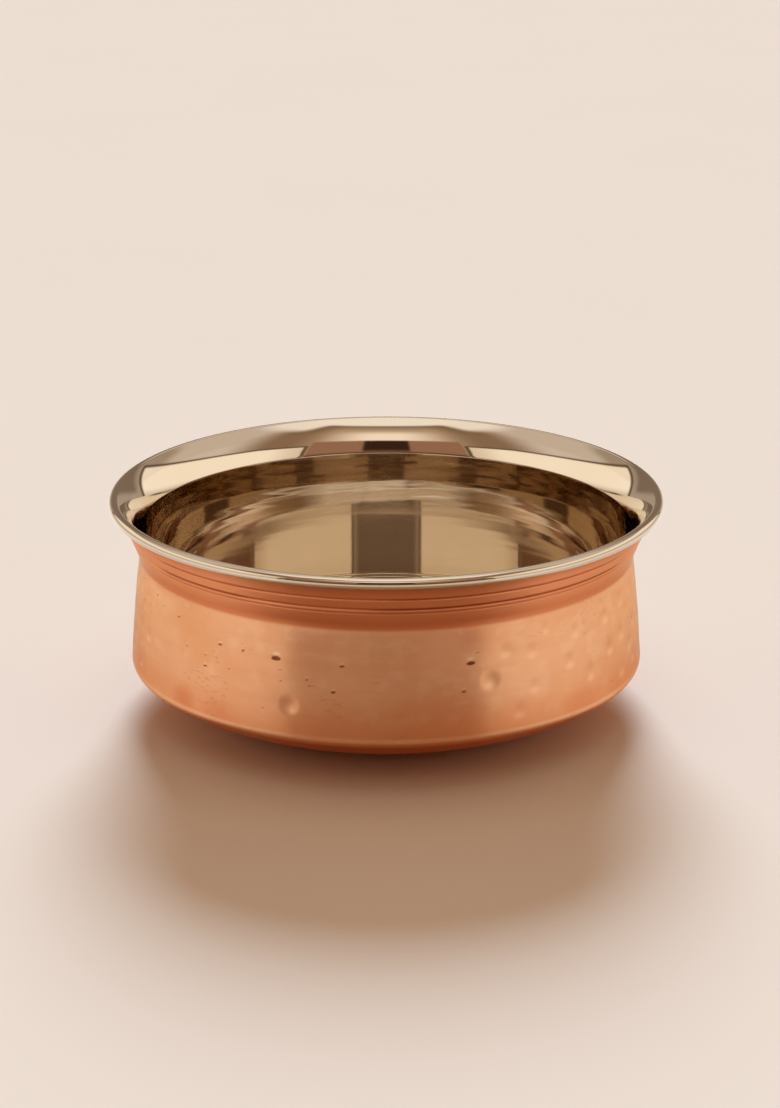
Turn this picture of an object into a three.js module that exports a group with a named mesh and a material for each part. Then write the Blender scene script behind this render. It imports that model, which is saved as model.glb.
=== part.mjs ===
// A low, wide copper serving pot: a hammered copper shell around a bright steel bowl, with air between them.
// The steel is rolled over the copper's edge at the lip. Millimetres, +Z up, the base stands on Z = 0.
import * as THREE from 'three';

// Overall form
const HEIGHT = 65; // base to the top of the lip
const RIM_RADIUS = 82.5; // outer edge of the rolled lip

// Copper shell, outer face
const NECK_INSET = 8.8; // how far the neck lies inside the lip's outer edge
const NECK_DROP = 17.5; // top of the lip down to the neck
const NECK_BEND = 8; // bend where the flare meets the belly
const FLARE_RADIUS = 120; // sweep of the flare, from the neck up to the lip
const BELLY_SWELL = 3; // how much wider the foot of the belly is than the neck, on the radius
const BELLY_BULGE = 0.29; // how far the belly wall bows out from a straight line
const HEEL_RISE = 15.4; // base up to where the belly wall turns in
const HEEL_BEND = 2.8; // bend between the belly wall and the dish
const BASE_RADIUS = 33.4; // flat part of the base

// Steel bowl, inner face
const SHOULDER_INSET = 9.6; // how far the edge between throat and mouth lies inside the lip's outer edge
const SHOULDER_DROP = 9.6; // top of the lip down to that edge
const MOUTH_RADIUS = 19.2; // sweep of the mouth, from that edge up to the lip
const THROAT_INSET = 10.6; // how far the top of the wall lies inside the lip's outer edge
const THROAT_DROP = 18.5; // top of the lip down to the top of the wall
const THROAT_BEND = 3; // bend between the wall and the throat
const WALL_LEAN = 2; // degrees that the wall draws in towards the floor
const FLOOR_BEND = 6; // bend between the wall and the flat floor
const FLOOR_GAP = 0.6; // air between that bend and the copper dish under it

// Sheets
const COPPER = 0.6; // copper sheet
const STEEL = 0.7; // steel sheet
const SHEET_GAP = 0.3; // clearance between the sheets at the lip
const LIP_HOLLOW = 1; // inside radius of the rolled lip

// Smoothness
const AROUND = 60; // flats around the pot
const FLARE_STEPS = 3;
const MOUTH_STEPS = 5;
const BEND_STEPS = 3;
const BELLY_STEPS = 4;
const HEEL_STEPS = 4;
const DISH_STEPS = 5;
const FLOOR_STEPS = 6;
const LIP_STEPS = 9;

// A point at a distance and an angle from a centre. Angles run from the outward radius up towards +Z.
function around(centre, radius, angle) {
  return new THREE.Vector2(centre.x + radius * Math.cos(angle), centre.y + radius * Math.sin(angle));
}

function arc(centre, radius, from, to, steps) {
  const points = [];
  for (let step = 0; step <= steps; step += 1) {
    points.push(around(centre, radius, from + ((to - from) * step) / steps));
  }
  return points;
}

// The point at one distance from a and another from b, on the left of the way from a to b
function meeting(a, reachA, b, reachB) {
  const apart = a.distanceTo(b);
  const along = (reachA ** 2 - reachB ** 2 + apart ** 2) / (2 * apart);
  const aside = Math.sqrt(reachA ** 2 - along ** 2);
  const way = b.clone().sub(a).normalize();
  return new THREE.Vector2(a.x + way.x * along - way.y * aside, a.y + way.y * along + way.x * aside);
}

function bearing(from, to) {
  return (Math.atan2(to.y - from.y, to.x - from.x) + 2 * Math.PI) % (2 * Math.PI);
}

// Belly wall: a shallow arc between the heel and the neck
const neck = new THREE.Vector2(RIM_RADIUS - NECK_INSET, HEIGHT - NECK_DROP);
const heel = new THREE.Vector2(neck.x + BELLY_SWELL, HEEL_RISE);
const bellyChord = neck.distanceTo(heel);
const bellyLean = Math.atan2(BELLY_SWELL, neck.y - heel.y);
const bellyTurn = 2 * Math.atan2(2 * BELLY_BULGE, bellyChord);
const bellyRadius = bellyChord / (2 * Math.sin(bellyTurn));
const heelAngle = bellyLean - bellyTurn;
const bellyCentre = around(neck, -bellyRadius, bellyLean + bellyTurn);

// Heel and dish: a tight bend, then a wide arc that meets the flat base without a corner
const heelCentre = around(heel, -HEEL_BEND, heelAngle);
const dishReach = heelCentre.x - BASE_RADIUS;
const dishRadius =
  (dishReach ** 2 + heelCentre.y ** 2 - HEEL_BEND ** 2) / (2 * (heelCentre.y - HEEL_BEND));
const dishCentre = new THREE.Vector2(BASE_RADIUS, dishRadius);
const dishAngle = Math.atan2(heelCentre.y - dishCentre.y, dishReach);

// Flare: the copper's edge ends inside the rolled lip, a clearance away from the steel
const lipRadius = LIP_HOLLOW + STEEL;
const lipCentre = new THREE.Vector2(RIM_RADIUS - lipRadius, HEIGHT - lipRadius);
const flareReach = FLARE_RADIUS + COPPER + SHEET_GAP - LIP_HOLLOW;
const flareCentre = meeting(lipCentre, flareReach, neck, FLARE_RADIUS);
const flareTop = bearing(flareCentre, lipCentre);

// Neck: the bend that joins the belly wall to the flare
const bendCentre = meeting(bellyCentre, bellyRadius + NECK_BEND, flareCentre, FLARE_RADIUS - NECK_BEND);
const bellyTop = bearing(bellyCentre, bendCentre);
const flareFoot = bearing(flareCentre, bendCentre);

// Steel mouth: from the shoulder up into the roll. A straight throat joins the shoulder to the wall below.
const shoulder = new THREE.Vector2(RIM_RADIUS - SHOULDER_INSET, HEIGHT - SHOULDER_DROP);
const mouthCentre = meeting(lipCentre, MOUTH_RADIUS - lipRadius, shoulder, MOUTH_RADIUS);
const mouthFoot = bearing(mouthCentre, shoulder);
const mouthTop = bearing(mouthCentre, lipCentre);
const wallAngle = THREE.MathUtils.degToRad(-WALL_LEAN);
const throat = new THREE.Vector2(RIM_RADIUS - THROAT_INSET, HEIGHT - THROAT_DROP);
const throatCentre = around(throat, THROAT_BEND, wallAngle);
const throatTop =
  bearing(throatCentre, shoulder) + Math.acos(THROAT_BEND / throatCentre.distanceTo(shoulder));

// Steel wall and floor: the wall runs straight down until its bend into the floor comes close to the dish
const wallWay = around(new THREE.Vector2(), 1, wallAngle - Math.PI / 2);
const bendStart = around(throat, -FLOOR_BEND, wallAngle).sub(dishCentre);
const bendReach = dishRadius - COPPER - FLOOR_GAP - STEEL - FLOOR_BEND;
const drop = -bendStart.dot(wallWay);
const wallLength = drop + Math.sqrt(drop ** 2 - bendStart.lengthSq() + bendReach ** 2);
const floorCentre = bendStart.clone().add(dishCentre).addScaledVector(wallWay, wallLength);

// The roll stops short of the copper that it holds
const tailReach = COPPER + 2 * SHEET_GAP - LIP_HOLLOW;
const lipEnd = flareTop - 2 * Math.PI + Math.acos(-tailReach / LIP_HOLLOW);

// One face of each sheet, from the middle upwards
function copperFace(inwards) {
  return [
    new THREE.Vector2(0, inwards),
    ...arc(dishCentre, dishRadius - inwards, -Math.PI / 2, dishAngle, DISH_STEPS),
    ...arc(heelCentre, HEEL_BEND - inwards, dishAngle, heelAngle, HEEL_STEPS).slice(1),
    ...arc(bellyCentre, bellyRadius - inwards, heelAngle, bellyTop, BELLY_STEPS).slice(1),
    ...arc(bendCentre, NECK_BEND + inwards, bellyTop + Math.PI, flareFoot, BEND_STEPS).slice(1),
    ...arc(flareCentre, FLARE_RADIUS + inwards, flareFoot, flareTop, FLARE_STEPS).slice(1),
  ];
}

function steelFace(outwards) {
  return [
    new THREE.Vector2(0, floorCentre.y - FLOOR_BEND - outwards),
    ...arc(floorCentre, FLOOR_BEND + outwards, -Math.PI / 2, wallAngle, FLOOR_STEPS),
    ...arc(throatCentre, THROAT_BEND - outwards, wallAngle + Math.PI, throatTop, BEND_STEPS),
    ...arc(mouthCentre, MOUTH_RADIUS - outwards, mouthFoot, mouthTop, MOUTH_STEPS),
  ];
}

function turned(name, outline, material) {
  const geometry = new THREE.LatheGeometry(outline, AROUND);
  geometry.rotateX(Math.PI / 2);
  const mesh = new THREE.Mesh(geometry, material);
  mesh.name = name;
  return mesh;
}

const copper = new THREE.MeshStandardMaterial({ color: 0xc98a5e, roughness: 0.28, metalness: 1 });
const steel = new THREE.MeshStandardMaterial({ color: 0xc9bda6, roughness: 0.16, metalness: 1 });

const jacket = turned('copper_jacket', [...copperFace(0), ...copperFace(COPPER).reverse()], copper);

const roll = [
  ...arc(lipCentre, LIP_HOLLOW, mouthTop, lipEnd, LIP_STEPS).slice(1),
  ...arc(lipCentre, lipRadius, lipEnd, Math.PI / 2, LIP_STEPS),
];
const liner = turned('steel_liner', [...steelFace(STEEL), ...roll, ...steelFace(0).reverse()], steel);

const pot = new THREE.Group();
pot.name = 'copper_handi_pot';
pot.add(jacket, liner);

export default pot;
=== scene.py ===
# %% [markdown]
# # A low copper serving pot
# The pot is two sheets of metal, one inside the other: a hammered copper shell outside and a polished steel
# bowl inside, whose edge is rolled over the copper's edge at the lip. Nothing on it moves. The CAD model
# has both sheets with smooth walls. This lesson dresses it: the same two pieces are turned again with many
# more points, so that hammer marks, spun lines and slight waves can be real shape, and then each gets its
# metal.

# %% Load the CAD model as a fixed frame
import math
import bpy
import numpy as np
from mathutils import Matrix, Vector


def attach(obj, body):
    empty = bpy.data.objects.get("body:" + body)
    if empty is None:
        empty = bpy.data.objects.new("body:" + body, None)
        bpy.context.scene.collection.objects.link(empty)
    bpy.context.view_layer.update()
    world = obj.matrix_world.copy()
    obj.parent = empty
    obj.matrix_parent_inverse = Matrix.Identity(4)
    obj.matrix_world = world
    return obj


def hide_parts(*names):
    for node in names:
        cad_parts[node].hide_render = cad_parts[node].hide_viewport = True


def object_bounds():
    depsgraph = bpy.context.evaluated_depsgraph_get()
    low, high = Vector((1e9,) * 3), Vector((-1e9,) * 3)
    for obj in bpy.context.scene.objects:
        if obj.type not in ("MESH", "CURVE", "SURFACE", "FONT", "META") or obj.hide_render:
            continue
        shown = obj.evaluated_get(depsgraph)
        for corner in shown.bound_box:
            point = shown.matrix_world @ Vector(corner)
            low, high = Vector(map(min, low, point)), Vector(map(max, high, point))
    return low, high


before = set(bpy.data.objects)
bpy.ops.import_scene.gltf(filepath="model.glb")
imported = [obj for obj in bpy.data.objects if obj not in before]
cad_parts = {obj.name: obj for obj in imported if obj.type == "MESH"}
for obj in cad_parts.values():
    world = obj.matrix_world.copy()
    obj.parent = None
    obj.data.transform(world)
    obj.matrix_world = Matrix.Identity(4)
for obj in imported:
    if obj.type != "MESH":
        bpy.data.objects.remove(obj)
cad_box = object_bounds()
scene = bpy.context.scene
print("CAD nodes:", sorted(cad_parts), "box", cad_box)

# %% [markdown]
# ## Camera
# The photograph looks slightly down on the pot with a long lens from about 0.9 m. The outline of a turned
# pot gives the angle away: the lip is an ellipse, and how flat it is says how steeply the camera looks
# down. The camera comes first, because every later choice is compared with the photograph through it.

# %% Camera at the photograph's angle
RISE = math.radians(17.231)    # the camera, seen from the middle of the lip's top
PITCH = math.radians(18.432)   # how far it looks down
REACH = 0.9                    # metres from the middle of the lip's top
ASIDE = 0.00113                # metres to the right of the pot's axis
FOCAL_PIXELS = 3018.9
IMAGE_HEIGHT = 1108            # pixels

lip_top = cad_box[1][2]
lens = bpy.data.cameras.new("camera")
lens.sensor_fit = "VERTICAL"
lens.sensor_height = 36.0
lens.lens = lens.sensor_height * FOCAL_PIXELS / IMAGE_HEIGHT
lens.clip_start, lens.clip_end = 0.05, 30.0
camera = bpy.data.objects.new("camera", lens)
camera.location = (ASIDE, -REACH * math.cos(RISE), lip_top + REACH * math.sin(RISE))
camera.rotation_euler = (math.pi / 2 - PITCH, 0.0, 0.0)
scene.collection.objects.link(camera)
scene.camera = camera
print(f"camera: lens {lens.lens:.1f} mm, looks down {math.degrees(PITCH):.1f} degrees")

# %% [markdown]
# ## The two outlines
# A spun pot is an outline turned about its axis, so the whole form is in a few arcs that run into one
# another. These sizes are the CAD model's own, in millimetres. The copper is drawn by its outer face and
# the steel by its inner face. The other face of a sheet is the same outline moved by the thickness, so an
# arc keeps its centre and only its radius changes.

# %% Sizes of the pot, in millimetres
HEIGHT, RIM_RADIUS = 65.0, 82.5
NECK_INSET, NECK_DROP, NECK_BEND, FLARE_RADIUS = 8.8, 17.5, 8.0, 120.0
BELLY_SWELL, BELLY_BULGE, HEEL_RISE, HEEL_BEND, BASE_RADIUS = 3.0, 0.29, 15.4, 2.8, 33.4
SHOULDER_INSET, SHOULDER_DROP, MOUTH_RADIUS = 9.6, 9.6, 19.2
THROAT_INSET, THROAT_DROP, THROAT_BEND = 10.6, 18.5, 3.0
WALL_LEAN, FLOOR_BEND, FLOOR_GAP = 2.0, 6.0, 0.6   # the lean is in degrees
COPPER, STEEL, SHEET_GAP, LIP_HOLLOW = 0.6, 0.7, 0.3, 1.0
print(f"pot: {2 * RIM_RADIUS:.0f} mm across the lip, {HEIGHT:.0f} mm high")


# %% Arcs, and where two circles meet
def around(centre, radius, angle):
    return np.array([centre[0] + radius * math.cos(angle), centre[1] + radius * math.sin(angle)])


def arc(centre, radius, start, end, spacing):
    count = max(2, int(math.ceil(abs(end - start) * radius / spacing)))
    return [around(centre, radius, start + (end - start) * i / count) for i in range(count + 1)]


def meeting(a, reach_a, b, reach_b):
    """The point at one distance from a and another from b, on the left of the way from a to b."""
    way = b - a
    apart = np.linalg.norm(way)
    along = (reach_a**2 - reach_b**2 + apart**2) / (2 * apart)
    aside = math.sqrt(reach_a**2 - along**2)
    way = way / apart
    return a + way * along + np.array([-way[1], way[0]]) * aside


def bearing(a, b):
    return math.atan2(b[1] - a[1], b[0] - a[0]) % (2 * math.pi)


# %% Centres of the copper's arcs
neck = np.array([RIM_RADIUS - NECK_INSET, HEIGHT - NECK_DROP])
heel = np.array([neck[0] + BELLY_SWELL, HEEL_RISE])
belly_chord = np.linalg.norm(neck - heel)
belly_lean = math.atan2(BELLY_SWELL, neck[1] - heel[1])
belly_turn = 2 * math.atan2(2 * BELLY_BULGE, belly_chord)
belly_radius = belly_chord / (2 * math.sin(belly_turn))
heel_angle = belly_lean - belly_turn
belly_centre = around(neck, -belly_radius, belly_lean + belly_turn)
heel_centre = around(heel, -HEEL_BEND, heel_angle)
dish_reach = heel_centre[0] - BASE_RADIUS
dish_radius = (dish_reach**2 + heel_centre[1]**2 - HEEL_BEND**2) / (2 * (heel_centre[1] - HEEL_BEND))
dish_centre = np.array([BASE_RADIUS, dish_radius])
dish_angle = math.atan2(heel_centre[1] - dish_radius, dish_reach)
lip_radius = LIP_HOLLOW + STEEL
lip_centre = np.array([RIM_RADIUS - lip_radius, HEIGHT - lip_radius])
flare_centre = meeting(lip_centre, FLARE_RADIUS + COPPER + SHEET_GAP - LIP_HOLLOW, neck, FLARE_RADIUS)
flare_top = bearing(flare_centre, lip_centre)
bend_centre = meeting(belly_centre, belly_radius + NECK_BEND, flare_centre, FLARE_RADIUS - NECK_BEND)
belly_top, flare_foot = bearing(belly_centre, bend_centre), bearing(flare_centre, bend_centre)

# %% Centres of the steel's arcs
shoulder = np.array([RIM_RADIUS - SHOULDER_INSET, HEIGHT - SHOULDER_DROP])
mouth_centre = meeting(lip_centre, MOUTH_RADIUS - lip_radius, shoulder, MOUTH_RADIUS)
mouth_foot, mouth_top = bearing(mouth_centre, shoulder), bearing(mouth_centre, lip_centre)
wall_angle = math.radians(-WALL_LEAN)
throat = np.array([RIM_RADIUS - THROAT_INSET, HEIGHT - THROAT_DROP])
throat_centre = around(throat, THROAT_BEND, wall_angle)
throat_reach = np.linalg.norm(shoulder - throat_centre)
throat_top = bearing(throat_centre, shoulder) + math.acos(THROAT_BEND / throat_reach)
wall_way = around((0, 0), 1, wall_angle - math.pi / 2)
bend_start = around(throat, -FLOOR_BEND, wall_angle) - dish_centre
bend_reach = dish_radius - COPPER - FLOOR_GAP - STEEL - FLOOR_BEND
drop = -bend_start @ wall_way
wall_length = drop + math.sqrt(drop**2 - bend_start @ bend_start + bend_reach**2)
floor_centre = bend_start + dish_centre + wall_way * wall_length
floor_height = floor_centre[1] - FLOOR_BEND
lip_end = flare_top - 2 * math.pi + math.acos(-(COPPER + 2 * SHEET_GAP - LIP_HOLLOW) / LIP_HOLLOW)
print(f"bowl: floor {floor_height:.1f} mm up and flat to {floor_centre[0]:.1f} mm from the axis, "
      f"wall {wall_length:.1f} mm high, throat leans {180 - math.degrees(throat_top):.1f} degrees")


# %% One face of each sheet, from the middle upwards, with fine as the usual spacing of its points
def flat_points(radius, height, spacing):
    """Points from the axis out to just inside the end of a flat."""
    return [np.array([r, height]) for r in np.arange(0.0, radius - 1.0, spacing)]


def straight(start, end, spacing):
    """Points between two others, without them."""
    count = max(2, int(math.ceil(np.linalg.norm(end - start) / spacing)))
    return [start + (end - start) * i / count for i in range(1, count)]


def copper_face(inwards, fine):
    points = flat_points(BASE_RADIUS, inwards, 6.0)
    points += arc(dish_centre, dish_radius - inwards, -math.pi / 2, dish_angle, 2.2 * fine)
    points += arc(heel_centre, HEEL_BEND - inwards, dish_angle, heel_angle, 0.5 * fine)[1:]
    points += arc(belly_centre, belly_radius - inwards, heel_angle, belly_top, fine)[1:]
    points += arc(bend_centre, NECK_BEND + inwards, belly_top + math.pi, flare_foot, 0.6 * fine)[1:]
    points += arc(flare_centre, FLARE_RADIUS + inwards, flare_foot, flare_top, 0.45 * fine)[1:]
    return points


def steel_face(outwards, fine):
    foot = arc(floor_centre, FLOOR_BEND + outwards, -math.pi / 2, wall_angle, 0.6 * fine)
    bend = arc(throat_centre, THROAT_BEND - outwards, wall_angle + math.pi, throat_top, 0.3 * fine)
    mouth = arc(mouth_centre, MOUTH_RADIUS - outwards, mouth_foot, mouth_top, 0.6 * fine)
    points = flat_points(floor_centre[0], floor_height - outwards, 3.0)
    points += foot + straight(foot[-1], bend[0], fine) + bend
    return points + straight(bend[-1], mouth[0], fine) + mouth


# %% [markdown]
# ## Turning an outline
# A lathe or spinning chuck turns the sheet, and here code does the same: every point of the outline becomes
# a ring of points, and neighbouring rings are joined by four-sided faces. A Screw modifier could turn the
# outline too, but the hammer marks need a different depth at every point, so the rings are made as one
# numpy grid that can be pushed before the mesh is built.

# %% Turn a closed outline into a mesh
def turned(name, outline, count, push):
    """A closed solid of revolution. push gives each point's shift outwards, and named values."""
    outline = np.array(outline)
    rings = outline[outline[:, 0] > 1e-6]
    angles = np.arange(count) * 2 * math.pi / count
    out, values = push(rings, angles)
    radius = rings[:, :1] + out
    height = np.repeat(rings[:, 1:], count, 1)
    x, y = radius * np.sin(angles), -radius * np.cos(angles)
    points = np.stack([x, y, height], -1).reshape(-1, 3)
    on_axis = [[0, 0, outline[0, 1]], [0, 0, outline[-1, 1]]]
    points = np.concatenate([points, on_axis]) / 1000
    start, end = len(points) - 2, len(points) - 1
    grid = np.arange(len(rings) * count).reshape(len(rings), count)
    after = np.roll(grid, -1, 1)
    quads = np.stack([grid[:-1], after[:-1], after[1:], grid[1:]], -1).reshape(-1, 4)
    faces = quads.tolist()
    faces += [[start, b, a] for a, b in zip(grid[0], after[0])]
    faces += [[end, a, b] for a, b in zip(grid[-1], after[-1])]
    mesh = bpy.data.meshes.new(name)
    mesh.from_pydata(points.tolist(), [], faces)
    mesh.polygons.foreach_set("use_smooth", [True] * len(mesh.polygons))
    mesh.update()
    for label, amount in values.items():
        layer = mesh.attributes.new(label, "FLOAT", "POINT")
        layer.data.foreach_set("value", np.concatenate([amount.ravel(), [0.0, 0.0]]))
    piece = bpy.data.objects.new(name, mesh)
    scene.collection.objects.link(piece)
    print(f"{name}: {len(mesh.vertices)} points, {len(mesh.polygons)} faces")
    return piece


# %% [markdown]
# ## Hammer marks
# A planishing hammer leaves shallow round hollows, here one or two tenths of a millimetre deep, so they
# show by the way they bend reflections. Where the face of the hammer caught an edge it left short nicks. A
# bump texture could fake both, but the mesh is fine enough to hold them as real shape. The marks that stand
# out at the front are placed one by one by their angle round the pot, with 0 at the front, and their
# height. The rest of the belly gets seeded random ones.

# %% Marks on the belly: degrees round the pot, then height, radius and depth in millimetres
FRONT_DIMPLES = [
    (-20.9, 24.2, 3.3, 0.255), (22.9, 31.1, 3.4, 0.255), (26.7, 39.0, 3.2, 0.18), (33.3, 37.5, 3.4, 0.165),
    (37.2, 43.0, 2.8, 0.15), (43.9, 31.5, 3.8, 0.18), (46.1, 39.6, 3.4, 0.18), (50.7, 25.6, 3.6, 0.165),
    (57.7, 39.9, 3.6, 0.21), (58.9, 29.9, 3.6, 0.21), (33.6, 27.2, 3.4, 0.135), (29.6, 20.9, 3.4, 0.12),
]
FRONT_NICKS = [
    (-24.2, 37.5, 1.9, 0.18), (-32.5, 37.7, 1.0, 0.10), (-38.8, 37.8, 1.1, 0.10), (-52.8, 41.4, 0.9, 0.08),
    (-42.9, 30.3, 1.0, 0.10), (-42.8, 33.6, 0.8, 0.08), (-9.4, 37.0, 1.1, 0.10), (-11.2, 29.4, 1.1, 0.10),
    (-17.0, 32.4, 0.9, 0.08), (-16.3, 30.6, 0.8, 0.07), (-23.2, 34.3, 0.8, 0.06), (-22.9, 31.1, 0.8, 0.06),
    (-27.0, 22.4, 0.8, 0.06), (-36.0, 31.5, 0.8, 0.06), (-49.1, 34.1, 0.9, 0.07), (18.4, 37.1, 1.9, 0.12),
    (16.7, 29.0, 1.2, 0.08), (19.9, 39.7, 0.8, 0.07), (-63.1, 44.0, 1.0, 0.08), (-59.5, 42.2, 0.8, 0.06),
]
FRONT_FROM, FRONT_TO = -66, 64   # degrees round the pot that the marks above cover
MARKS_AROUND = 54                # dimples in a full row
ROW_HEIGHTS = np.arange(20.5, 45.0, 5.6)
NICK_SHARE = 0.16                # nicks to each dimple


def scattered_marks(seed):
    """Dimples and nicks for the rest of the belly, on a jittered grid that leaves the front alone."""
    chance = np.random.default_rng(seed)
    dimples, nicks = [], []
    for row, height in enumerate(ROW_HEIGHTS):
        for step in range(MARKS_AROUND):
            angle = -180 + (step + 0.5 * (row % 2)) * 360 / MARKS_AROUND + chance.normal(0, 1.5)
            if FRONT_FROM < angle < FRONT_TO:
                continue
            depth = chance.uniform(0.09, 0.21)
            dimples.append((angle, height + chance.normal(0, 1.0), chance.uniform(2.8, 3.9), depth))
            if chance.random() < NICK_SHARE:
                nicks.append((angle + chance.normal(0, 3), height + chance.normal(0, 2), 0.9, 0.08))
    return dimples, nicks


more_dimples, more_nicks = scattered_marks(11)
dimples, nicks = FRONT_DIMPLES + more_dimples, FRONT_NICKS + more_nicks
print(f"hammer marks: {len(dimples)} dimples, {len(nicks)} nicks")

# %% Depth of the marks over the grid
MARK_RADIUS = 75.0   # millimetres from the axis to the belly, by which angles become lengths


def mark_depth(marks, heights, angles, flat=1.0):
    """How far in each grid point is pushed. flat under 1 makes a mark lower than it is wide."""
    depth = np.zeros((len(heights), len(angles)))
    degrees = np.degrees(angles)
    for angle, height, size, deep in marks:
        across = np.radians((degrees - angle + 180) % 360 - 180)[None, :] * MARK_RADIUS / size
        upward = ((heights - height) / (size * flat))[:, None]
        inside = np.clip(1 - across**2 - upward**2, 0, None)
        depth = np.maximum(depth, deep * inside**1.5)
    return depth


def moved(marks, down, size):
    """The same marks, moved down and resized by shares of their own radius."""
    return [(angle, height - down * radius, size * radius, deep) for angle, height, radius, deep in marks]


# %% [markdown]
# ## Spun lines in the neck
# Fine grooves run round the flare below the lip, left by the tool that pressed the copper to the steel.
# They are pushed into the mesh as narrow hollows, all round. The belly also has the slightest unevenness
# from planishing, which keeps its reflections from looking machined. The push also leaves named values on
# the mesh, which the copper's colours read later: the stains, the grooves, painted shade in the upper half
# of each dimple and inside each nick, and painted highlights below each dimple and above each nick.

# %% Push the copper: hammer marks, spun lines and a slight waver
SPUN_LINES = [(57.6, 0.35, 0.2), (54.2, 0.4, 0.26), (52.9, 0.3, 0.12)]   # height, half width, depth
STAINS = [(-49.5, 18.0, 6.5, 1.0), (-38.0, 15.5, 9.0, 0.6), (-71.0, 21.0, 8.0, 0.5), (47.0, 17.0, 9.0, 0.6)]
BELLY_FROM, BELLY_TO, BELLY_FADE = 16.0, 48.5, 1.5       # heights between which the belly is worked
FULL_DIMPLE, FULL_NICK, FULL_GROOVE = 0.18, 0.10, 0.26   # depths at which a named value is 1
COPPER_AROUND, COPPER_FINE, HIDDEN_FINE = 720, 0.4, 3.0  # points in a ring, spacing of the rings

outer_face = copper_face(0.0, COPPER_FINE)
outer_rings = len(outer_face) - 1   # the point on the axis isn't a ring


def push_copper(outline, angles):
    heights = outline[:, 1]
    outer = (np.arange(len(outline)) < outer_rings)[:, None]
    depth = mark_depth(dimples, heights, angles) + mark_depth(nicks, heights, angles, flat=0.55)
    belly = np.clip((heights - BELLY_FROM) / BELLY_FADE, 0, 1)
    belly = belly * np.clip((BELLY_TO - heights) / BELLY_FADE, 0, 1)
    waver = 0.018 * np.sin(7 * angles + 1.0)[None, :] * np.sin(heights / 5.0)[:, None]
    waver = waver + 0.012 * np.sin(17 * angles)[None, :] * np.cos(heights / 3.3 + 1.0)[:, None]
    depth = (depth + waver) * belly[:, None]
    groove = np.zeros(len(heights))
    for height, half, deep in SPUN_LINES:
        groove += deep * np.exp(-(((heights - height) / half) ** 2))
    depth = depth + groove[:, None]
    # Values for the colours: the stains and grooves, then painted shade in the dimples' upper halves and
    # inside the nicks, and painted highlights below the dimples and above the nicks.
    finish = {
        "shade": mark_depth(moved(dimples, -0.35, 0.7), heights, angles, flat=0.7) / FULL_DIMPLE,
        "gleam": mark_depth(moved(dimples, 0.45, 0.75), heights, angles, flat=0.55) / FULL_DIMPLE,
        "nick_shadow": mark_depth(moved(nicks, 0.2, 0.95), heights, angles, flat=0.42) / FULL_NICK,
        "nick_highlight": mark_depth(moved(nicks, -0.5, 0.9), heights, angles, flat=0.35) / FULL_NICK,
        "stain": mark_depth(STAINS, heights, angles, flat=0.8),
        "groove": np.repeat(groove[:, None], len(angles), 1) / FULL_GROOVE,
    }
    return -depth * outer, {name: value * outer for name, value in finish.items()}


copper_outline = outer_face + copper_face(COPPER, HIDDEN_FINE)[::-1]
copper_shell = turned("copper_shell", copper_outline, COPPER_AROUND, push_copper)

# %% [markdown]
# ## Steel bowl
# The bowl is spun from harder sheet and polished like a mirror: a flat floor, an almost upright wall, a
# short throat and the flared mouth. A mirror shows the smallest wave, and the real one has plenty: the
# images in its wall are drawn out in wavy lines. So the wall gets ripples of a few thousandths of a
# millimetre, long round the pot and short up the wall, as spinning leaves them. They are strongest high on
# the wall, where the images waver most.

# %% Push the steel: ripples on the inner face
# Size in millimetres, waves up the wall, sway of their height, sways round the pot, start of the sways
RIPPLES = [(0.0015, 1.1, 1.3, 5, 2.0), (0.0006, 4.1, 1.7, 9, 0.0)]
HIGH_RIPPLES = [(0.004, 1.7, 2.2, 4, 0.4), (0.0015, 3.7, 1.9, 23, 0.0)]
STEEL_AROUND, STEEL_FINE = 480, 0.5   # points in a ring, spacing of the rings

hidden_face = steel_face(STEEL, HIDDEN_FINE)
hidden_rings = len(hidden_face) - 1   # the point on the axis isn't a ring


def rippled(ripples, heights, angles):
    total = np.zeros((len(heights), len(angles)))
    for size, waves, sway, sways, start in ripples:
        total += size * np.sin(heights[:, None] * waves + sway * np.sin(sways * angles + start)[None, :])
    return total


def push_steel(outline, angles):
    heights = outline[:, 1]
    inner = np.arange(len(outline)) >= hidden_rings
    wall = inner * np.clip((heights - 12.0) / 4.0, 0, 1) * np.clip((55.5 - heights) / 2.0, 0, 1)
    high = np.clip((heights - 36.0) / 6.0, 0, 1)
    level = 0.0012 * np.sin(heights * 2.3)[:, None] * (1 + 0.5 * np.sin(3 * angles + 0.7))[None, :]
    swaying = rippled(RIPPLES, heights, angles) + high[:, None] * rippled(HIGH_RIPPLES, heights, angles)
    return (level + swaying) * wall[:, None], {}


roll = arc(lip_centre, LIP_HOLLOW, mouth_top, lip_end, 0.5)[1:]
roll += arc(lip_centre, lip_radius, lip_end, mouth_top, 0.22)[:-1]
steel_outline = hidden_face + roll + steel_face(0.0, STEEL_FINE)[::-1]
steel_bowl = turned("steel_bowl", steel_outline, STEEL_AROUND, push_steel)

# %% [markdown]
# ## The pieces and the CAD model
# The real sheets are fastened at the lip and nothing moves, so both pieces belong to the pot's one body.
# Each takes the place of the CAD solid with the same outline.
# Copies that lie over the CAD solids would flicker where two faces meet, so the solids are replaced.

# %% Give the pieces to the CAD model's body
for piece, node, finish in ((copper_shell, "copper_jacket", "copper"), (steel_bowl, "steel_liner", "steel")):
    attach(piece, "root")
    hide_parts(node)
    print(f"{piece.name} replaces {node}")

# %% [markdown]
# ## Shader maths as Python
# A material's pattern is arithmetic on positions: add, multiply, compare. Wiring Math nodes by hand hides
# that, so a small class holds one socket, and Python's own operators on it add the Math nodes. Everything
# that isn't plain arithmetic comes from its node method.


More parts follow.
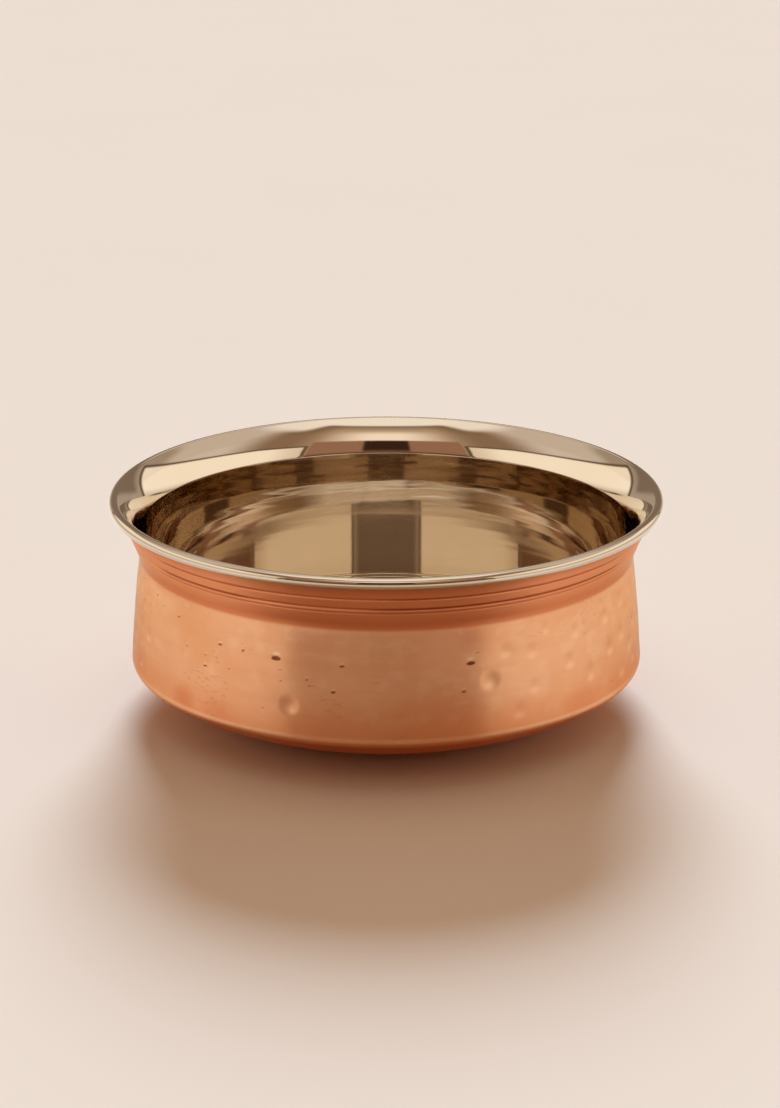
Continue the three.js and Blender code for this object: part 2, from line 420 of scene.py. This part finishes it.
# %% A socket that can be added and multiplied
class Wire:
    """One output socket of a node tree."""

    def __init__(self, tree, socket=None):
        self.tree, self.socket = tree, socket

    def node(self, kind, settings=None, values=None, output=0):
        made = self.tree.nodes.new(kind)
        for name, value in (settings or {}).items():
            setattr(made, name, value)
        for name, value in (values or {}).items():
            if isinstance(value, Wire):
                self.tree.links.new(value.socket, made.inputs[name])
            else:
                made.inputs[name].default_value = value
        return Wire(self.tree, made.outputs[output])

    def math(self, operation, *values):
        return self.node("ShaderNodeMath", {"operation": operation}, dict(enumerate(values)))

    def __add__(self, other):
        return self.math("ADD", self, other)

    def __sub__(self, other):
        return self.math("SUBTRACT", self, other)

    def __rsub__(self, other):
        return self.math("SUBTRACT", other, self)

    def __mul__(self, other):
        return self.math("MULTIPLY", self, other)

    __radd__, __rmul__ = __add__, __mul__

    def ease(self, start, end):
        """0 before start, 1 after end, smooth between."""
        settings = {"interpolation_type": "SMOOTHSTEP"}
        return self.node("ShaderNodeMapRange", settings, {"Value": self, "From Min": start, "From Max": end})

    def mix(self, first, second):
        """From one colour to another, by this value. Names repeat in a Mix node, so sockets go by number."""
        settings = {"data_type": "RGBA", "clamp_factor": True}
        colours = {6: first, 7: second}
        for place, colour in colours.items():
            if not isinstance(colour, Wire):
                colours[place] = (*colour, 1.0)
        return self.node("ShaderNodeMix", settings, {0: self, **colours}, output=2)

    def split(self):
        parts = self.node("ShaderNodeSeparateXYZ", None, {"Vector": self}).socket.node
        return [Wire(self.tree, socket) for socket in parts.outputs]

    def noise(self, scale, detail=2.0, roughness=0.5):
        """Soft random value from 0 to 1 over this vector."""
        values = {"Vector": self, "Scale": scale, "Detail": detail, "Roughness": roughness}
        return self.node("ShaderNodeTexNoise", None, values)

    def scaled(self, x, y, z):
        return self.node("ShaderNodeVectorMath", {"operation": "MULTIPLY"}, {0: self, 1: (x, y, z)})

    def into(self, socket):
        self.tree.links.new(self.socket, socket)


def metal(name, **constants):
    """A metal material's start: its shader, whose constants are set on its own sockets."""
    material = bpy.data.materials.new(name)
    material.use_nodes = True
    shader = material.node_tree.nodes["Principled BSDF"]
    shader.inputs["Metallic"].default_value = 1.0
    for socket, value in constants.items():
        shader.inputs[socket.replace("_", " ")].default_value = value
    return material, shader.inputs, Wire(material.node_tree)


# %% [markdown]
# ## Copper
# The copper was turned against an abrasive, which leaves hair-fine rings. They blur a reflection up and
# down and keep it sharp sideways, so the studio shows on the belly as upright bars. Anisotropy does that:
# it stretches the highlight across the rings. The rings themselves are a noise squeezed flat. Over them lie
# mottles from the hammer, patches of tiny ticks and a few reddish stains near the foot. The neck was
# pressed harder and polished less, so it is a deeper red, deepened further by painted shade. Painted shade
# also darkens its bend, the grooves, the copper close under the lip, and the heel and the dish, and a
# painted highlight rings the top of the heel. The hammer marks carry painted shade and painted highlights.

# %% Copper's patterns, and the heights in metres where its colours change
SPECULAR_TINT = (0.86, 0.72, 0.58, 1.0)
copper, sockets, tool = metal(
    "copper", Anisotropic=0.9, Anisotropic_Rotation=0.25, Specular_Tint=SPECULAR_TINT
)
place = tool.node("ShaderNodeTexCoord", output="Object")
height = place.split()[2]
blotches = place.noise(38.0, 3.0)
rings = place.scaled(14.0, 14.0, 2600.0).noise(1.0, 3.0, 0.6)
streaks = place.scaled(30.0, 30.0, 420.0).noise(1.0, 2.0)
mottles = place.scaled(1.0, 1.0, 1.4).noise(120.0, 2.0)
ticks = place.scaled(420.0, 420.0, 1500.0).noise(1.0, 1.0) * place.noise(60.0, 1.0).ease(0.52, 0.64)
# Patchy strength of the painted shade in the grooves.
groove_shade = 0.2 + 0.9 * place.noise(32.0, 1.0).ease(0.4, 0.62)
in_neck = height.ease(0.0466, 0.0478)
bend_shade = in_neck * (1 - height.ease(0.0485, 0.0530))
under_lip_shade = height.ease(0.0580, 0.0615)
low = 1 - height.ease(0.0155, 0.0300)
under = 1 - height.ease(0.0120, 0.0155)
heel_highlight = height.ease(0.0142, 0.0149) * (1 - height.ease(0.0154, 0.0163))


def mark(name):
    """A value that the push left on the mesh."""
    return tool.node("ShaderNodeAttribute", {"attribute_name": name}, output="Fac")


# %% Copper's colours, from the body to the marks on it
body = blotches.ease(0.42, 0.68).mix((0.83, 0.445, 0.245), (0.79, 0.385, 0.195))
body = (mottles.ease(0.48, 0.66) * 0.55).mix(body, (0.87, 0.51, 0.30))
body = (streaks.ease(0.45, 0.75) * 0.25).mix(body, (0.76, 0.35, 0.17))
body = (low * (0.2 + 0.8 * blotches)).mix(body, (0.78, 0.29, 0.12))
body = (mark("stain") * 0.9).mix(body, (0.72, 0.26, 0.11))
# The neck's deeper red: partly copper that was polished less, partly painted shade.
body = (in_neck * (0.7 + 0.3 * streaks)).mix(body, (0.81, 0.305, 0.14))
# Painted shade in the bend of the neck.
body = (bend_shade * 0.6).mix(body, (0.60, 0.185, 0.07))
# Painted shade close under the lip.
body = (under_lip_shade * 0.6).mix(body, (0.50, 0.16, 0.06))
# Painted shade in the spun grooves, patchy round the pot.
body = (mark("groove") * groove_shade).mix(body, (0.36, 0.09, 0.035))
# Painted shade on the heel and the dish under it.
body = (under * 0.75).mix(body, (0.66, 0.21, 0.075))
# A painted highlight: a thin pale ring where the belly meets the heel.
body = (heel_highlight * (0.25 + 0.6 * mottles)).mix(body, (0.92, 0.58, 0.35))
# Painted shade in the upper half of each dimple, and a painted highlight below it.
body = (mark("shade") * 0.30).mix(body, (0.66, 0.28, 0.13))
body = (mark("gleam") * 0.45).mix(body, (0.95, 0.62, 0.39))
body = (ticks.ease(0.56, 0.66) * (1 - in_neck) * 0.3).mix(body, (0.55, 0.23, 0.105))
# A painted highlight above each nick, and painted shadow inside it.
body = (mark("nick_highlight") * 0.6).mix(body, (0.97, 0.70, 0.48))
body = mark("nick_shadow").ease(0.08, 0.7).mix(body, (0.26, 0.075, 0.03))
body.into(sockets["Base Color"])

# %% Copper's roughness and its rings
rough = 0.26 + 0.06 * blotches + 0.05 * streaks - 0.02 * in_neck
rough.into(sockets["Roughness"])
relief = {"Strength": 0.10, "Distance": 0.00004, "Height": rings + 0.6 * streaks}
tool.node("ShaderNodeBump", None, relief).into(sockets["Normal"])
copper_shell.data.materials.append(copper)
print("copper:", len(copper.node_tree.nodes), "nodes")

# %% [markdown]
# ## Steel
# Polished steel is a mirror with a warm tint. Fine polishing rings scatter a little light, and faint cloudy
# patches of wiping marks change its roughness. The rings follow the distance along the sheet, out from the
# axis and then up, so they lie as circles on the floor and as level lines on the wall. Painted shade
# darkens the upper wall and the throat, and more lightly the top of the mouth and the lip.

# %% Steel's patterns
steel, sockets, tool = metal("steel", Anisotropic=0.4, Anisotropic_Rotation=0.25)
place = tool.node("ShaderNodeTexCoord", output="Object")
clouds = place.noise(45.0, 3.0)
height = place.split()[2]
level = place.scaled(1.0, 1.0, 0.0)
radius = tool.node("ShaderNodeVectorMath", {"operation": "LENGTH"}, {0: level}, output="Value")
along = (radius + height) * 2400.0
rings = tool.node("ShaderNodeTexNoise", {"noise_dimensions": "1D"}, {"W": along, "Detail": 3.0})
throat_shade = height.ease(0.0340, 0.0470) * (1 - height.ease(0.0540, 0.0556))
lip_shade = height.ease(0.0612, 0.0622)

# %% Steel's colour, roughness and rings
tint = clouds.ease(0.3, 0.7).mix((0.73, 0.64, 0.53), (0.75, 0.66, 0.55))
# Painted shade on the upper wall and the throat.
tint = (throat_shade * 0.75).mix(tint, (0.56, 0.455, 0.35))
# Light painted shade on the lip and the top of the mouth.
tint = (lip_shade * 0.6).mix(tint, (0.64, 0.545, 0.43))
tint = (rings.ease(0.45, 0.75) * 0.25).mix(tint, (0.62, 0.53, 0.43))
tint.into(sockets["Base Color"])
rough = 0.025 + 0.03 * clouds + 0.01 * rings
rough.into(sockets["Roughness"])
relief = {"Strength": 0.012, "Distance": 0.00003, "Height": rings}
tool.node("ShaderNodeBump", None, relief).into(sockets["Normal"])
steel_bowl.data.materials.append(steel)
print("steel:", len(steel.node_tree.nodes), "nodes")

# %% [markdown]
# ## Studio
# Polished metal has hardly any look of its own: it shows the room. The reflections in the mouth give that
# room away: two pale framed panels at the sides, a dim front with a darker slot where the camera stands, a
# pale ceiling and a dim back wall. The world is that room, drawn by direction with soft edges, because
# lamps and cards would need many objects for the same. It is dimmer and warmer as light on the floor than
# as an image in the metal. A soft lamp low behind the pot lights the floor, so that the pot's own shadow
# lies in front of it and darkens the middle of the belly, as on the real one.

# %% Floor
FLOOR_WIDTH, FLOOR_DROP = 8.0, 0.0002   # metres, and metres below the base so that no two faces coincide
bpy.ops.mesh.primitive_grid_add(x_subdivisions=8, y_subdivisions=8, size=1.0)
floor = bpy.context.object
floor.name = "floor"
floor.scale = (FLOOR_WIDTH, FLOOR_WIDTH, 1.0)
floor.location = (0.0, 0.0, -FLOOR_DROP)
paint = bpy.data.materials.new("floor_paint")
paint.use_nodes = True
sockets = paint.node_tree.nodes["Principled BSDF"].inputs
sockets["Roughness"].default_value = 0.9
sockets["Specular IOR Level"].default_value = 0.1
grain = Wire(paint.node_tree).node("ShaderNodeTexCoord", output="Object").noise(60.0, 2.0)
grain.mix((0.84, 0.84, 0.835), (0.86, 0.86, 0.855)).into(sockets["Base Color"])
floor.data.materials.append(paint)
print(f"floor: {FLOOR_WIDTH:.0f} m wide")

# %% Room by direction: turn is degrees round from the front, rise is degrees up
world = bpy.data.worlds.new("room")
scene.world = world
world.use_nodes = True
tool = Wire(world.node_tree)
way = tool.node("ShaderNodeTexCoord", output="Generated")
east, north, up = way.split()
turn = tool.math("ABSOLUTE", tool.math("ARCTAN2", east, 0 - north)) * (180 / math.pi)
rise = tool.math("ARCSINE", up) * (180 / math.pi)
far = tool.math("MAXIMUM", turn - 70.0, 0.0)


def panel(grow):
    """One at the side panels, which are framed: grow widens them by so many degrees."""
    top = 1 - (rise + 0.12 * far).ease(35.0 + grow, 37.0 + grow)
    return top * turn.ease(43.0 - grow, 44.5 - grow) * (1 - turn.ease(145.0 + grow, 147.0 + grow))


# %% Front of the room: a dim wall with a dark slot, and a paler shelf above it
slot = (1 - turn.ease(11.0, 13.0)) * rise.ease(16.0, 29.0)
front = rise.ease(12.0, 26.0).mix((0.15, 0.075, 0.042), (0.38, 0.20, 0.12))
front = slot.mix(front, (0.05, 0.022, 0.012))
shelf = turn.ease(6.0, 44.0).mix((1.2, 1.02, 0.86), (0.55, 0.39, 0.26))
shelf = rise.ease(55.0, 66.0).mix(shelf, (0.58, 0.42, 0.27))
shelf = rise.ease(66.0, 72.0).mix(shelf, (0.36, 0.28, 0.20))

# %% The whole room: walls, ceiling, framed panels, and the front over them
sky = turn.ease(66.0, 98.0).mix((0.32, 0.20, 0.12), (0.78, 0.67, 0.57))
sky = (turn.ease(126.0, 138.0) * (1 - rise.ease(38.0, 46.0))).mix(sky, (0.48, 0.385, 0.30))
sky = (turn.ease(149.0, 154.0) * rise.ease(6.0, 11.0)).mix(sky, (0.27, 0.20, 0.15))
sky = (turn.ease(154.0, 164.0) * rise.ease(27.0, 33.0)).mix(sky, (0.88, 0.80, 0.70))
sky = (rise.ease(61.0, 69.0) * turn.ease(56.0, 72.0)).mix(sky, (1.2, 1.14, 1.06))
sky = (1 - turn.ease(30.0, 56.0)).mix(sky, shelf)
sky = rise.ease(73.0, 77.0).mix(sky, (1.25, 1.19, 1.1))
cloth = turn.ease(44.0, 64.0).mix((0.95, 0.78, 0.62), (1.22, 1.09, 0.91))
cloth = rise.ease(1.0, 11.0).mix((0.50, 0.43, 0.35), cloth)
sky = panel(2.0).mix(sky, (0.13, 0.08, 0.045))
sky = panel(0.0).mix(sky, cloth)
sky = ((1 - turn.ease(40.0, 41.5)) * (1 - rise.ease(43.0, 46.0))).mix(sky, front)


# %% The room as it is seen, and dimmer and warmer as light on the floor
def ray(name):
    return tool.node("ShaderNodeLightPath", output=name)


seen = tool.math("MAXIMUM", ray("Is Camera Ray"), ray("Is Glossy Ray"))
seen = tool.math("MAXIMUM", seen, ray("Is Transmission Ray"))
sky = seen.mix(sky.scaled(0.64, 0.47, 0.35), sky)
background = world.node_tree.nodes["Background"].inputs
sky.into(background["Color"])
background["Strength"].default_value = 1.0
print("room:", len(world.node_tree.nodes), "nodes")

# %% Soft lamp low behind the pot, for the floor and the pot's shadow on it
KEY_RISE, KEY_WIDTH, KEY_STRENGTH = 28.0, 24.0, 3.9   # degrees up, degrees across
key = bpy.data.lights.new("key", "SUN")
key.energy, key.angle, key.color = KEY_STRENGTH, math.radians(KEY_WIDTH), (0.91, 0.97, 1.0)
sun = bpy.data.objects.new("key", key)
sun.rotation_euler = (math.radians(KEY_RISE - 90.0), 0.0, 0.0)
sun.visible_glossy = False
scene.collection.objects.link(sun)
print(f"key lamp: strength {KEY_STRENGTH:.1f}, {KEY_RISE:.0f} degrees up, behind the pot")

# %% [markdown]
# ## Low strip lamps
# On the real belly the dark middle ends at two upright edges, where something pale stands low beside the
# pot. Painting the edges on would be wrong from any other side, since they are a reflection. So four dim
# strip lamps stand on the floor round the sides, from near the front to near the back. They show in the
# metal alone: the camera doesn't see them, and they don't light the floor.

# %% Low strip lamps round the sides
STRIP_REACH, STRIP_HEIGHT, STRIP_GLOW = 0.160, 0.042, 0.24    # metres from the axis, metres up, brightness
STRIP_START, STRIP_SPAN, STRIPS_A_SIDE = 34.4, 58.0, 2        # degrees round from the front, degrees each
strip_width = 2 * STRIP_REACH * math.tan(math.radians(STRIP_SPAN / 2))
for side in (-1, 1):
    for number in range(STRIPS_A_SIDE):
        strip = bpy.data.lights.new("strip", "AREA")
        strip.shape, strip.size, strip.size_y = "RECTANGLE", strip_width, STRIP_HEIGHT
        strip.energy = STRIP_GLOW * math.pi * strip_width * STRIP_HEIGHT
        lamp = bpy.data.objects.new("strip", strip)
        angle = side * math.radians(STRIP_START + STRIP_SPAN * (number + 0.5))
        lamp.location = (STRIP_REACH * math.sin(angle), -STRIP_REACH * math.cos(angle), STRIP_HEIGHT / 2)
        lamp.rotation_euler = (math.pi / 2, 0.0, angle)
        lamp.visible_camera = lamp.visible_diffuse = False
        scene.collection.objects.link(lamp)
print(f"strip lamps: {2 * STRIPS_A_SIDE}, each {strip_width:.3f} m wide")

# %% [markdown]
# ## View
# The Standard view shows colours about as they are written. The throat of the bowl mirrors the bowl's other
# side, which mirrors it again, and it turns black where Blender stops counting such bounces, so more of
# them are allowed.

# %% View settings
scene.view_settings.view_transform = "Standard"
scene.cycles.glossy_bounces = 12
